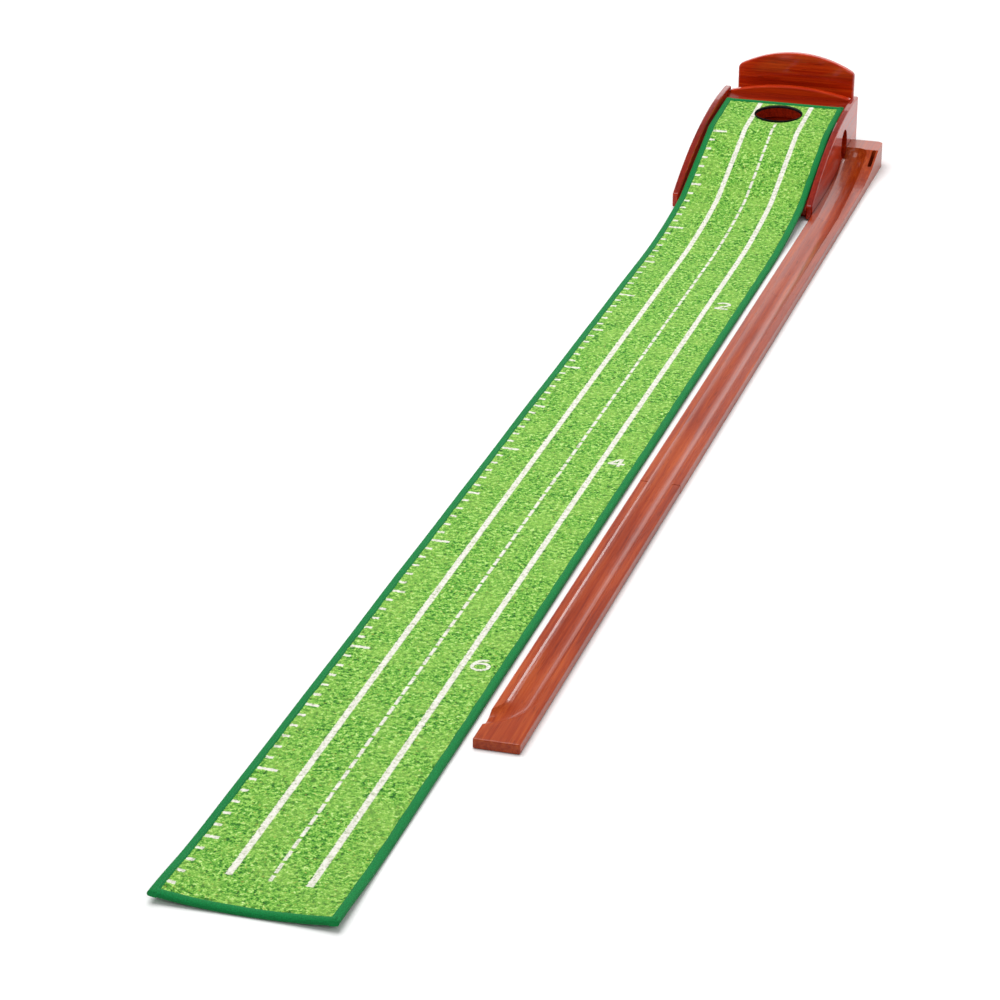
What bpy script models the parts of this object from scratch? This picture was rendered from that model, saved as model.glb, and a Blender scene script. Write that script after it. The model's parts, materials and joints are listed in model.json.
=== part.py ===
"""Practice putting mat: a turf runner on a wooden ramp box, with a four-piece ball return tray.

Metres, +Z up.  The design frame has x = 0 on the turf's centre line, y = 0 at the near edge
and z = 0 on the floor; one empty then puts the origin under the middle of the whole object.
"""
import math

import bmesh
import bpy
from mathutils import Matrix, Vector

# Clearances
GAP = 0.0003               # left between faces that touch on the real mat
PIN_CLEARANCE = 0.00015    # radial, pins and dowels in their bores
BALL_DIAMETER = 0.04267

# Turf runner
MAT_WIDTH = 0.198
MAT_THICK = 0.005
BINDING_WIDTH = 0.010
FLOOR_RUN = 2.213          # near edge to the foot of the ramp
LIFT_RUN = 0.250           # stretch before the ramp where the turf leaves the floor
MAT_REAR_RUN = 0.125       # turf on the flat deck, behind the ramp

# Ramp box
FOOT_HEIGHT = 0.0185       # underside of the turf at the foot of the ramp
RAMP_RUN = 0.189
RAMP_RISE = 0.0585
DECK_RUN = 0.165           # flat deck, from the top of the ramp to the rear board
DECK_RISE = 0.0130
DECK_THICK = 0.008
SIDE_PLAY = 0.003          # between the turf and each side panel
PANEL_THICK = 0.010
PANEL_FRONT_HEIGHT = 0.024
PANEL_CREST_HEIGHT = 0.099
PANEL_CREST_RUN = 0.323    # from the panel's front end to its highest point
EDGE_ROUND = 0.0022
REAR_BOARD_THICK = 0.012
REAR_BOARD_ARCH = 0.014
REAR_BOARD_SIDE_HEIGHT = 0.093
RAIL_THICK = 0.014
FRONT_RAIL_SETBACK = 0.016
PAD_HEIGHT = 0.0015
PAD_LENGTH = 0.060
DOWEL_RADIUS = 0.003
DOWEL_LENGTH = 0.016

# Cup hole and the ball's way out
HOLE_DIAMETER = 0.078
HOLE_SETBACK = 0.074       # top of the ramp to the hole's centre
RING_WALL = 0.0015
EXIT_DIAMETER = 0.048
EXIT_SETBACK = 0.065       # top of the ramp to the exit hole's centre
EXIT_BOTTOM = 0.025
CHUTE_THICK = 0.006
CHUTE_FALL = 0.010
CHUTE_WIDTH = 0.110
FENCE_THICK = 0.006
FENCE_HEIGHT = 0.012

# Backstop, which lifts out of two slotted guides
BACKSTOP_WIDTH = 0.195
BACKSTOP_THICK = 0.012
BACKSTOP_SIDE_TOP = 0.125
BACKSTOP_ARCH = 0.027
BACKSTOP_CORNER = 0.009
BACKSTOP_BOTTOM = 0.022
GUIDE_WIDTH = 0.034
GUIDE_HEIGHT = 0.055
GUIDE_FRONT_WALL = 0.030
GUIDE_REAR_WALL = 0.008
SLOT_PLAY = 0.0004

# Ball return tray
TRAY_SETBACK = 0.0135      # turf edge to the tray's near side
TRAY_WIDTH = 0.053
TRAY_THICK = 0.012
TRAY_ROUND = 0.0015
TRAY_PAST_EXIT = 0.066     # exit hole's centre to the tray's far end
END_LENGTH = 0.724
MIDDLE_LENGTH = 0.728
UPPER_LENGTH = 0.355
HEAD_LENGTH = 0.331
CHANNEL_RADIUS = 0.023
CHANNEL_WIDTH = 0.032
HEAD_TOP = 0.038
HEAD_SLOPE_START = 0.082   # along the head piece, from its joint
HEAD_SLOPE_RUN = 0.200
HEAD_CORNER = 0.012
POCKET_INSET = 0.017       # pocket's centre, in from the tray's inner side
POCKET_FLOOR = 0.022
SLOT_WIDTH = 0.006
SLOT_LENGTH = 0.046
SLOT_FLOOR = 0.010
SLOT_WALL = 0.0032
MOUTH_RADIUS = 0.055       # bend of the channel's centre line
MOUTH_START = 0.100        # from the tray's near end to where the bend starts
PIN_RADIUS = 0.002
PIN_LENGTH = 0.020
PIN_SPREAD = 0.0205
TAPE_THICK = 0.001
TAPE_WIDTH = 0.020         # hook tape across the front of the hole deck
TAPE_SETBACK = 0.006       # top of the ramp to the tape
TAPE_MARGIN = 0.030        # turf edge to the tape's end
FENCE_TIP = 0.004          # fence's thin end, in from the turf's edge
PAD_SETBACK = 0.012        # panel's end to its foot pad
GUIDE_DROP = 0.010         # backstop's bottom edge to the guides' underside
DOWEL_SETBACK = 0.018      # tray's far end to its rear locating dowel

# Derived places
HALF_MAT = MAT_WIDTH / 2
PANEL_IN = HALF_MAT + SIDE_PLAY
PANEL_OUT = PANEL_IN + PANEL_THICK
TRAY_IN = max(HALF_MAT + TRAY_SETBACK, PANEL_OUT + GAP)
TRAY_OUT = TRAY_IN + TRAY_WIDTH
TRAY_MID = (TRAY_IN + TRAY_OUT) / 2
RAMP_TOP_Y = FLOOR_RUN + RAMP_RUN
RAMP_TOP_Z = FOOT_HEIGHT + RAMP_RISE
DECK_SLOPE = DECK_RISE / DECK_RUN
REAR_Y = RAMP_TOP_Y + DECK_RUN
PANEL_REAR = REAR_Y + REAR_BOARD_THICK
MAT_REAR = RAMP_TOP_Y + MAT_REAR_RUN
HOLE_Y = RAMP_TOP_Y + HOLE_SETBACK
EXIT_Y = RAMP_TOP_Y + EXIT_SETBACK
EXIT_Z = EXIT_BOTTOM + EXIT_DIAMETER / 2
BASE_Z = PAD_HEIGHT + GAP
RAIL_FRONT_Y = RAMP_TOP_Y - RAIL_THICK / 2
CHUTE_FRONT_Y = RAMP_TOP_Y + RAIL_THICK / 2 + GAP
CHUTE_REAR_Y = CHUTE_FRONT_Y + CHUTE_WIDTH
SLOT_Y = PANEL_REAR + GAP + GUIDE_FRONT_WALL
GUIDE_REAR_Y = SLOT_Y + BACKSTOP_THICK + 2 * SLOT_PLAY + GUIDE_REAR_WALL
TRAY_FAR_END = EXIT_Y + TRAY_PAST_EXIT
JOINT_UPPER = TRAY_FAR_END - HEAD_LENGTH
JOINT_MIDDLE = JOINT_UPPER - UPPER_LENGTH
JOINT_END = JOINT_MIDDLE - MIDDLE_LENGTH
TRAY_NEAR_END = JOINT_END - END_LENGTH
CHANNEL_DEPTH = CHANNEL_RADIUS - math.sqrt(CHANNEL_RADIUS ** 2 - (CHANNEL_WIDTH / 2) ** 2)
CHANNEL_FLOOR = TRAY_THICK - CHANNEL_DEPTH
PIN_Z = TRAY_THICK * 0.45
CENTRE = Vector(((TRAY_OUT - PANEL_OUT) / 2, max(GUIDE_REAR_Y, TRAY_FAR_END) / 2, 0.0))

BOARD_RED = (0.33, 0.055, 0.022, 1.0)
TRAY_RED = (0.38, 0.085, 0.045, 1.0)


# ---------------------------------------------------------------- outlines and solids

def arc(centre, radius, start, end, steps):
    """Points on an arc, angles in degrees, both ends included."""
    angles = [math.radians(start + (end - start) * i / steps) for i in range(steps + 1)]
    return [(centre[0] + radius * math.cos(a), centre[1] + radius * math.sin(a)) for a in angles]


def add_object(name, bm, material):
    """Turn a bmesh into a named object with outward faces, its material and its place."""
    bmesh.ops.remove_doubles(bm, verts=bm.verts, dist=1e-7)
    bmesh.ops.recalc_face_normals(bm, faces=bm.faces)
    mesh = bpy.data.meshes.new(name)
    bm.to_mesh(mesh)
    bm.free()
    mesh.materials.append(material)
    obj = bpy.data.objects.new(name, mesh)
    bpy.context.scene.collection.objects.link(obj)
    obj.parent = ORIGIN
    return obj


def prism(name, outline, axis, low, high, material):
    """Extrude a closed outline along 'X', 'Y' or 'Z', from low to high."""
    place = {
        "X": lambda u, v, w: (w, u, v),
        "Y": lambda u, v, w: (u, w, v),
        "Z": lambda u, v, w: (u, v, w),
    }[axis]
    bm = bmesh.new()
    face = bm.faces.new([bm.verts.new(place(u, v, low)) for u, v in outline])
    side = bmesh.ops.extrude_face_region(bm, geom=[face])
    shift = Vector(place(0.0, 0.0, high - low))
    moved = [item for item in side["geom"] if isinstance(item, bmesh.types.BMVert)]
    bmesh.ops.translate(bm, verts=moved, vec=shift)
    return add_object(name, bm, material)


def block(name, low, high, material):
    """A box between two corners."""
    outline = [(low[0], low[1]), (high[0], low[1]), (high[0], high[1]), (low[0], high[1])]
    return prism(name, outline, "Z", low[2], high[2], material)


def rod(name, start, end, radius, material, segments=24):
    """A solid cylinder between two points."""
    start = Vector(start)
    end = Vector(end)
    along = end - start
    turn = along.to_track_quat("Z", "Y").to_matrix().to_4x4()
    place = Matrix.Translation((start + end) / 2) @ turn
    bm = bmesh.new()
    bmesh.ops.create_cone(bm, cap_ends=True, segments=segments, radius1=radius, radius2=radius,
                          depth=along.length, matrix=place)
    return shade_round(add_object(name, bm, material))


def swept_tube(name, path, radius, material, segments=48):
    """A capped tube along a path, with an upright circular section at each point."""
    bm = bmesh.new()
    rings = []
    for i, point in enumerate(path):
        before = path[max(i - 1, 0)]
        after = path[min(i + 1, len(path) - 1)]
        across = (after - before).cross(Vector((0.0, 0.0, 1.0))).normalized()
        ring = []
        for k in range(segments):
            angle = 2 * math.pi * k / segments
            lift = Vector((0.0, 0.0, radius * math.sin(angle)))
            ring.append(bm.verts.new(point + across * radius * math.cos(angle) + lift))
        rings.append(ring)
    for ring, following in zip(rings, rings[1:]):
        for k in range(segments):
            n = (k + 1) % segments
            bm.faces.new((ring[k], ring[n], following[n], following[k]))
    bm.faces.new(rings[0])
    bm.faces.new(list(reversed(rings[-1])))
    return add_object(name, bm, material)


def ball(name, centre, radius, material):
    """A sphere, used to round the blind end of a channel."""
    bm = bmesh.new()
    bmesh.ops.create_uvsphere(bm, u_segments=48, v_segments=24, radius=radius,
                              matrix=Matrix.Translation(centre))
    return add_object(name, bm, material)


def shade_round(obj):
    """Smooth shading that keeps the sharp rims sharp."""
    for polygon in obj.data.polygons:
        polygon.use_smooth = True
    for edge in edges_sharper_than(obj.data, math.radians(40)):
        edge.use_edge_sharp = True
    return obj


def edges_sharper_than(mesh, angle):
    """Edges whose two faces meet at more than an angle."""
    faces_of = {}
    for polygon in mesh.polygons:
        for key in polygon.edge_keys:
            faces_of.setdefault(key, []).append(polygon.normal)
    sharp = []
    for edge in mesh.edges:
        normals = faces_of.get(edge.key, [])
        if len(normals) == 2 and normals[0].angle(normals[1]) > angle:
            sharp.append(edge)
    return sharp


def round_edges(obj, width, segments=2):
    """Round an object's square edges."""
    bevel = obj.modifiers.new("round", "BEVEL")
    bevel.width = width
    bevel.segments = segments
    bevel.limit_method = "ANGLE"
    bevel.angle_limit = math.radians(50)
    return obj


def cut(obj, cutter):
    """Subtract a cutter, which stays hidden in the scene."""
    cutter.hide_render = True
    cutter.display_type = "WIRE"
    cutter.hide_set(True)
    boolean = obj.modifiers.new("cut " + cutter.name, "BOOLEAN")
    boolean.operation = "DIFFERENCE"
    boolean.solver = "EXACT"
    boolean.object = cutter
    return obj


# ---------------------------------------------------------------- materials

def material(name, colour, roughness, metallic=0.0):
    """A plain Principled material."""
    mat = bpy.data.materials.new(name)
    mat.use_nodes = True
    shader = mat.node_tree.nodes["Principled BSDF"]
    shader.inputs["Base Color"].default_value = colour
    shader.inputs["Roughness"].default_value = roughness
    shader.inputs["Metallic"].default_value = metallic
    mat.diffuse_color = colour
    return mat


# ---------------------------------------------------------------- side profile

def turf_underside(y):
    """Height of the turf's underside at a distance from its near edge."""
    lift_start = FLOOR_RUN - LIFT_RUN
    if y <= lift_start:
        return 0.0
    if y <= FLOOR_RUN:
        return FOOT_HEIGHT * ((y - lift_start) / LIFT_RUN) ** 2
    if y <= RAMP_TOP_Y:
        return FOOT_HEIGHT + RAMP_RISE * (y - FLOOR_RUN) / RAMP_RUN
    return RAMP_TOP_Z + DECK_SLOPE * (y - RAMP_TOP_Y)


def deck_underside(y):
    """Lowest height of either deck board at y, which whatever stands under it clears."""
    slope = DECK_SLOPE
    if y < RAMP_TOP_Y:
        slope = RAMP_RISE / RAMP_RUN
    return turf_underside(y) - GAP - DECK_THICK * math.hypot(1.0, slope)


def turf_outline(start, end):
    """Side outline of a strip of turf between two distances."""
    lift_start = FLOOR_RUN - LIFT_RUN
    lift = [lift_start + LIFT_RUN * i / 8 for i in range(9)]
    stations = sorted({start, end, RAMP_TOP_Y, *lift})
    stations = [y for y in stations if start <= y <= end]
    under = [(y, turf_underside(y)) for y in stations]
    over = [(y, z + MAT_THICK) for y, z in reversed(under)]
    return under + over


def channel_outline():
    """Cross-section of a tray piece, with its round channel."""
    half = math.degrees(math.asin(CHANNEL_WIDTH / 2 / CHANNEL_RADIUS))
    inner = (TRAY_IN + TRAY_ROUND, TRAY_THICK - TRAY_ROUND)
    outer = (TRAY_OUT - TRAY_ROUND, TRAY_THICK - TRAY_ROUND)
    axis_z = CHANNEL_FLOOR + CHANNEL_RADIUS
    groove = arc((TRAY_MID, axis_z), CHANNEL_RADIUS, -90 - half, -90 + half, 16)
    left_round = arc(inner, TRAY_ROUND, 180, 90, 3)
    right_round = arc(outer, TRAY_ROUND, 90, 0, 3)
    return [(TRAY_IN, 0.0)] + left_round + groove + right_round + [(TRAY_OUT, 0.0)]


# ---------------------------------------------------------------- turf runner

def build_runner():
    turf_mat = material("turf_green", (0.20, 0.42, 0.06, 1.0), 0.9)
    binding_mat = material("binding_green", (0.02, 0.20, 0.06, 1.0), 0.85)
    inner = HALF_MAT - BINDING_WIDTH
    start = BINDING_WIDTH
    end = MAT_REAR - BINDING_WIDTH
    turf = prism("turf", turf_outline(start + GAP, end - GAP), "X", -inner + GAP, inner - GAP, turf_mat)
    hole = rod("turf_hole_cutter", (0.0, HOLE_Y, 0.0), (0.0, HOLE_Y, 0.2),
               HOLE_DIAMETER / 2 + GAP, turf_mat, 48)
    cut(turf, hole)
    sides = turf_outline(0.0, MAT_REAR)
    prism("binding_left", sides, "X", -HALF_MAT, -inner, binding_mat)
    prism("binding_right", sides, "X", inner, HALF_MAT, binding_mat)
    prism("binding_near", turf_outline(0.0, start), "X", -inner + GAP, inner - GAP, binding_mat)
    prism("binding_far", turf_outline(end, MAT_REAR), "X", -inner + GAP, inner - GAP, binding_mat)


# ---------------------------------------------------------------- ramp box

def panel_outline():
    """Side panel: flat base, blunt front end, one long convex top edge."""
    rise = PANEL_CREST_HEIGHT - PANEL_FRONT_HEIGHT
    radius = (PANEL_CREST_RUN ** 2 + rise ** 2) / (2 * rise)
    crest_y = FLOOR_RUN + PANEL_CREST_RUN
    centre = (crest_y, PANEL_CREST_HEIGHT - radius)
    front = 90 + math.degrees(math.asin(PANEL_CREST_RUN / radius))
    rear = 90 - math.degrees(math.asin((PANEL_REAR - crest_y) / radius))
    top = arc(centre, radius, front, rear, 22)
    return [(FLOOR_RUN, BASE_Z)] + top + [(PANEL_REAR, BASE_Z)]


def rail_dowel_places():
    """Where dowels tie the cross rails to the side panels: name, y, z."""
    return [
        ("front", FLOOR_RUN + FRONT_RAIL_SETBACK + RAIL_THICK / 2, 0.0075),
        ("middle_low", RAMP_TOP_Y, 0.022),
        ("middle_high", RAMP_TOP_Y, 0.052),
        ("rear_low", REAR_Y + REAR_BOARD_THICK / 2, 0.022),
        ("rear_high", REAR_Y + REAR_BOARD_THICK / 2, 0.070),
    ]


def build_panels():
    wood = material("panel_wood", BOARD_RED, 0.3)
    outline = panel_outline()
    left = prism("side_panel_left", outline, "X", -PANEL_OUT, -PANEL_IN, wood)
    right = prism("side_panel_right", outline, "X", PANEL_IN, PANEL_OUT, wood)
    for panel in (left, right):
        round_edges(panel, EDGE_ROUND)
    exit_cutter = rod("exit_cutter", (PANEL_IN - 0.01, EXIT_Y, EXIT_Z), (PANEL_OUT + 0.01, EXIT_Y, EXIT_Z),
                      EXIT_DIAMETER / 2, wood, 48)
    cut(right, exit_cutter)
    return left, right


def build_rails():
    wood = material("rail_wood", (0.30, 0.06, 0.03, 1.0), 0.45)
    half = PANEL_IN - GAP
    front_y = FLOOR_RUN + FRONT_RAIL_SETBACK
    front_top = deck_underside(front_y) - GAP
    front = block("front_rail", (-half, front_y, BASE_Z), (half, front_y + RAIL_THICK, front_top), wood)
    middle_top = deck_underside(RAIL_FRONT_Y) - GAP
    middle = block("middle_rail", (-half, RAIL_FRONT_Y, BASE_Z),
                   (half, RAIL_FRONT_Y + RAIL_THICK, middle_top), wood)
    rear_top = deck_underside(CHUTE_REAR_Y + GAP) - GAP
    block("chute_rear_wall", (-half, CHUTE_REAR_Y + GAP, BASE_Z),
          (half, CHUTE_REAR_Y + GAP + FENCE_THICK, rear_top), wood)
    return front, middle


def build_rear_board():
    wood = material("rear_board_wood", BOARD_RED, 0.3)
    half = PANEL_IN - GAP
    radius = (half ** 2 + REAR_BOARD_ARCH ** 2) / (2 * REAR_BOARD_ARCH)
    reach = math.degrees(math.asin(half / radius))
    centre = (0.0, REAR_BOARD_SIDE_HEIGHT + REAR_BOARD_ARCH - radius)
    top = arc(centre, radius, 90 - reach, 90 + reach, 20)
    outline = [(-half, BASE_Z), (half, BASE_Z)] + top
    board = prism("rear_board", outline, "Y", REAR_Y, PANEL_REAR, wood)
    return round_edges(board, EDGE_ROUND)


def fit_rail_dowels(panels, rails):
    """Dowels through each rail's ends into blind bores in the side panels."""
    wood = material("dowel_wood", (0.62, 0.44, 0.26, 1.0), 0.6)
    for side, panel in zip((-1, 1), panels):
        side_name = "left" if side < 0 else "right"
        for place, y, z in rail_dowel_places():
            start = side * (PANEL_IN - DOWEL_LENGTH / 2)
            end = side * (PANEL_IN + DOWEL_LENGTH / 2 - GAP)
            name = "rail_dowel_" + place + "_" + side_name
            rod(name, (start, y, z), (end, y, z), DOWEL_RADIUS, wood)
            bore = rod(name + "_bore", (start - side * GAP, y, z), (end + side * GAP, y, z),
                       DOWEL_RADIUS + PIN_CLEARANCE, wood)
            cut(panel, bore)
            cut(rails[place.split("_")[0]], bore)


def build_decks():
    wood = material("deck_wood", (0.36, 0.12, 0.05, 1.0), 0.5)
    half = PANEL_IN - GAP
    ramp_slope = RAMP_RISE / RAMP_RUN
    ramp_drop = DECK_THICK * math.hypot(1.0, ramp_slope)
    foot_z = turf_underside(FLOOR_RUN) - GAP
    top_z = turf_underside(RAMP_TOP_Y) - GAP
    lip = EDGE_ROUND
    seam = RAMP_TOP_Y - GAP / 2
    ramp = [
        (FLOOR_RUN, foot_z - ramp_drop),
        (seam, top_z - ramp_drop - ramp_slope * GAP / 2),
        (seam, top_z - ramp_slope * GAP / 2),
        (FLOOR_RUN + lip, foot_z + ramp_slope * lip),
        (FLOOR_RUN, foot_z - lip),
    ]
    prism("ramp_deck", ramp, "X", -half, half, wood)
    deck_drop = DECK_THICK * math.hypot(1.0, DECK_SLOPE)
    front = RAMP_TOP_Y + GAP / 2
    rear = REAR_Y - GAP
    front_z = turf_underside(front) - GAP
    rear_z = turf_underside(rear) - GAP
    flat = [(front, front_z - deck_drop), (rear, rear_z - deck_drop), (rear, rear_z), (front, front_z)]
    deck = prism("hole_deck", flat, "X", -half, half, wood)
    hole = rod("deck_hole_cutter", (0.0, HOLE_Y, 0.04), (0.0, HOLE_Y, 0.2),
               HOLE_DIAMETER / 2 + GAP, wood, 48)
    cut(deck, hole)
    return deck


def build_hole_ring():
    """Thin black liner that lines the cup hole through the deck and the turf."""
    black = material("ring_black", (0.01, 0.01, 0.01, 1.0), 0.5)
    low = deck_underside(HOLE_Y - HOLE_DIAMETER / 2)
    high = turf_underside(HOLE_Y) + MAT_THICK
    ring = rod("hole_ring", (0.0, HOLE_Y, low), (0.0, HOLE_Y, high), HOLE_DIAMETER / 2, black, 48)
    inner = HOLE_DIAMETER / 2 - RING_WALL
    bore = rod("ring_bore_cutter", (0.0, HOLE_Y, low - 0.01), (0.0, HOLE_Y, high + 0.01), inner, black, 48)
    return cut(ring, bore)


def fit_hook_tape(deck):
    """Hook tape let into the deck, where it grips the turf's backing."""
    nylon = material("hook_tape", (0.02, 0.02, 0.02, 1.0), 0.8)
    half_length = HALF_MAT - TAPE_MARGIN
    start = RAMP_TOP_Y + TAPE_SETBACK
    low = turf_underside(start) - GAP - TAPE_THICK
    high = turf_underside(start + TAPE_WIDTH) - GAP - TAPE_THICK
    corners = [(start, low), (start + TAPE_WIDTH, high),
               (start + TAPE_WIDTH, high + TAPE_THICK), (start, low + TAPE_THICK)]
    prism("hook_tape", corners, "X", -half_length, half_length, nylon)
    rebate = [(start - GAP, low - GAP), (start + TAPE_WIDTH + GAP, high - GAP),
              (start + TAPE_WIDTH + GAP, high + 0.01), (start - GAP, low + 0.01)]
    cutter = prism("tape_rebate_cutter", rebate, "X", -half_length - GAP, half_length + GAP, nylon)
    cut(deck, cutter)


def chute_top(x):
    """Height of the chute's upper face, which falls towards the exit hole."""
    half = PANEL_IN - GAP
    return EXIT_BOTTOM + GAP + CHUTE_FALL * (half - x) / (2 * half)


def slanted_strip(name, start, end, thick, height, lift, wood):
    """A low fence standing on the chute, between two points of its centre line."""
    bm = bmesh.new()
    along = Vector((end[0] - start[0], end[1] - start[1])).normalized()
    across = Vector((-along[1], along[0])) * thick / 2
    rings = []
    for point in (start, end):
        base = chute_top(point[0]) + lift
        ring = []
        for side, z in ((-1, base), (1, base), (1, base + height), (-1, base + height)):
            ring.append(bm.verts.new((point[0] + side * across[0], point[1] + side * across[1], z)))
        rings.append(ring)
    for k in range(4):
        n = (k + 1) % 4
        bm.faces.new((rings[0][k], rings[0][n], rings[1][n], rings[1][k]))
    bm.faces.new(rings[0])
    bm.faces.new(list(reversed(rings[1])))
    return add_object(name, bm, wood)


def build_chute():
    wood = material("chute_wood", (0.22, 0.03, 0.015, 1.0), 0.4)
    half = PANEL_IN - GAP
    outline = [(-half, chute_top(-half) - CHUTE_THICK), (half, chute_top(half) - CHUTE_THICK),
               (half, chute_top(half)), (-half, chute_top(-half))]
    prism("ball_chute", outline, "Y", CHUTE_FRONT_Y, CHUTE_REAR_Y, wood)
    far_x = -HOLE_DIAMETER / 2
    near_x = half - FENCE_TIP
    fences = (("chute_fence_front", -1, CHUTE_FRONT_Y), ("chute_fence_rear", 1, CHUTE_REAR_Y))
    for name, side, edge in fences:
        wide = edge - side * (FENCE_THICK / 2 + 2 * GAP)
        narrow = EXIT_Y + side * (EXIT_DIAMETER / 2 + FENCE_THICK / 2)
        slanted_strip(name, (far_x, wide), (near_x, narrow), FENCE_THICK, FENCE_HEIGHT, GAP, wood)


def build_pads():
    rubber = material("pad_rubber", (0.02, 0.02, 0.02, 1.0), 0.9)
    width = PANEL_THICK - 0.003
    middle = (PANEL_IN + PANEL_OUT) / 2
    for side, side_name in ((-1, "left"), (1, "right")):
        places = ((FLOOR_RUN + PAD_SETBACK, "front"), (PANEL_REAR - PAD_SETBACK - PAD_LENGTH, "rear"))
        for start, end_name in places:
            low = (side * middle - width / 2, start, 0.0)
            high = (side * middle + width / 2, start + PAD_LENGTH, PAD_HEIGHT)
            block("pad_" + end_name + "_" + side_name, low, high, rubber)


# ---------------------------------------------------------------- backstop

def build_backstop():
    wood = material("backstop_wood", BOARD_RED, 0.28)
    half = BACKSTOP_WIDTH / 2
    radius = (half ** 2 + BACKSTOP_ARCH ** 2) / (2 * BACKSTOP_ARCH)
    centre_z = BACKSTOP_SIDE_TOP + BACKSTOP_ARCH - radius
    corner_x = half - BACKSTOP_CORNER
    corner_reach = radius - BACKSTOP_CORNER
    corner_z = centre_z + math.sqrt(corner_reach ** 2 - corner_x ** 2)
    lean = math.degrees(math.asin(corner_x / corner_reach))
    right = arc((corner_x, corner_z), BACKSTOP_CORNER, 0, 90 - lean, 5)
    top = arc((0.0, centre_z), radius, 90 - lean, 90 + lean, 20)[1:-1]
    left = arc((-corner_x, corner_z), BACKSTOP_CORNER, 90 + lean, 180, 5)
    outline = [(-half, BACKSTOP_BOTTOM), (half, BACKSTOP_BOTTOM)] + right + top + left
    front = SLOT_Y + SLOT_PLAY
    board = prism("backstop_board", outline, "Y", front, front + BACKSTOP_THICK, wood)
    round_edges(board, EDGE_ROUND)


def build_backstop_guides():
    """Two slotted blocks behind the rear board, which the backstop drops into."""
    wood = material("guide_wood", (0.28, 0.05, 0.025, 1.0), 0.4)
    front = PANEL_REAR + GAP
    slot_end = SLOT_Y + BACKSTOP_THICK + 2 * SLOT_PLAY
    floor = BACKSTOP_BOTTOM - GAP
    low = floor - GUIDE_DROP
    high = low + GUIDE_HEIGHT
    outline = [(front, low), (GUIDE_REAR_Y, low), (GUIDE_REAR_Y, high), (slot_end, high),
               (slot_end, floor), (SLOT_Y, floor), (SLOT_Y, high), (front, high)]
    outer = BACKSTOP_WIDTH / 2
    prism("backstop_guide_left", outline, "X", -outer, -outer + GUIDE_WIDTH, wood)
    prism("backstop_guide_right", outline, "X", outer - GUIDE_WIDTH, outer, wood)


# ---------------------------------------------------------------- ball return tray

def build_straight_trays():
    wood = material("tray_wood", TRAY_RED, 0.3)
    outline = channel_outline()
    middle = prism("tray_middle", outline, "Y", JOINT_END + GAP / 2, JOINT_MIDDLE - GAP / 2, wood)
    upper = prism("tray_upper", outline, "Y", JOINT_MIDDLE + GAP / 2, JOINT_UPPER - GAP / 2, wood)
    return middle, upper


def build_tray_end():
    """Near piece: its channel bends and leaves through the side that faces the turf."""
    wood = material("tray_end_wood", TRAY_RED, 0.3)
    low = (TRAY_IN, TRAY_NEAR_END, 0.0)
    high = (TRAY_OUT, JOINT_END - GAP / 2, TRAY_THICK)
    end = round_edges(block("tray_end", low, high, wood), TRAY_ROUND)
    z = CHANNEL_FLOOR + CHANNEL_RADIUS
    bend_y = TRAY_NEAR_END + MOUTH_START
    path = [Vector((TRAY_MID, JOINT_END + 0.02, z))]
    centre_x = TRAY_MID - MOUTH_RADIUS
    for x, y in arc((centre_x, bend_y), MOUTH_RADIUS, 0, -80, 16):
        path.append(Vector((x, y, z)))
    last = path[-1] + (path[-1] - path[-2]).normalized() * 0.03
    path.append(last)
    return cut(end, swept_tube("mouth_cutter", path, CHANNEL_RADIUS, wood))


def head_top(run):
    """Height of the head piece's top at a distance from its joint."""
    t = min(max((run - HEAD_SLOPE_START) / HEAD_SLOPE_RUN, 0.0), 1.0)
    return TRAY_THICK + (HEAD_TOP - TRAY_THICK) * t ** 3


def head_channel_floor(run):
    """Height of the head piece's channel floor at a distance from its joint."""
    t = max((run - HEAD_SLOPE_START) / (EXIT_Y - JOINT_UPPER - HEAD_SLOPE_START), 0.0)
    return CHANNEL_FLOOR + (POCKET_FLOOR - CHANNEL_FLOOR) * t ** 3


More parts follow.
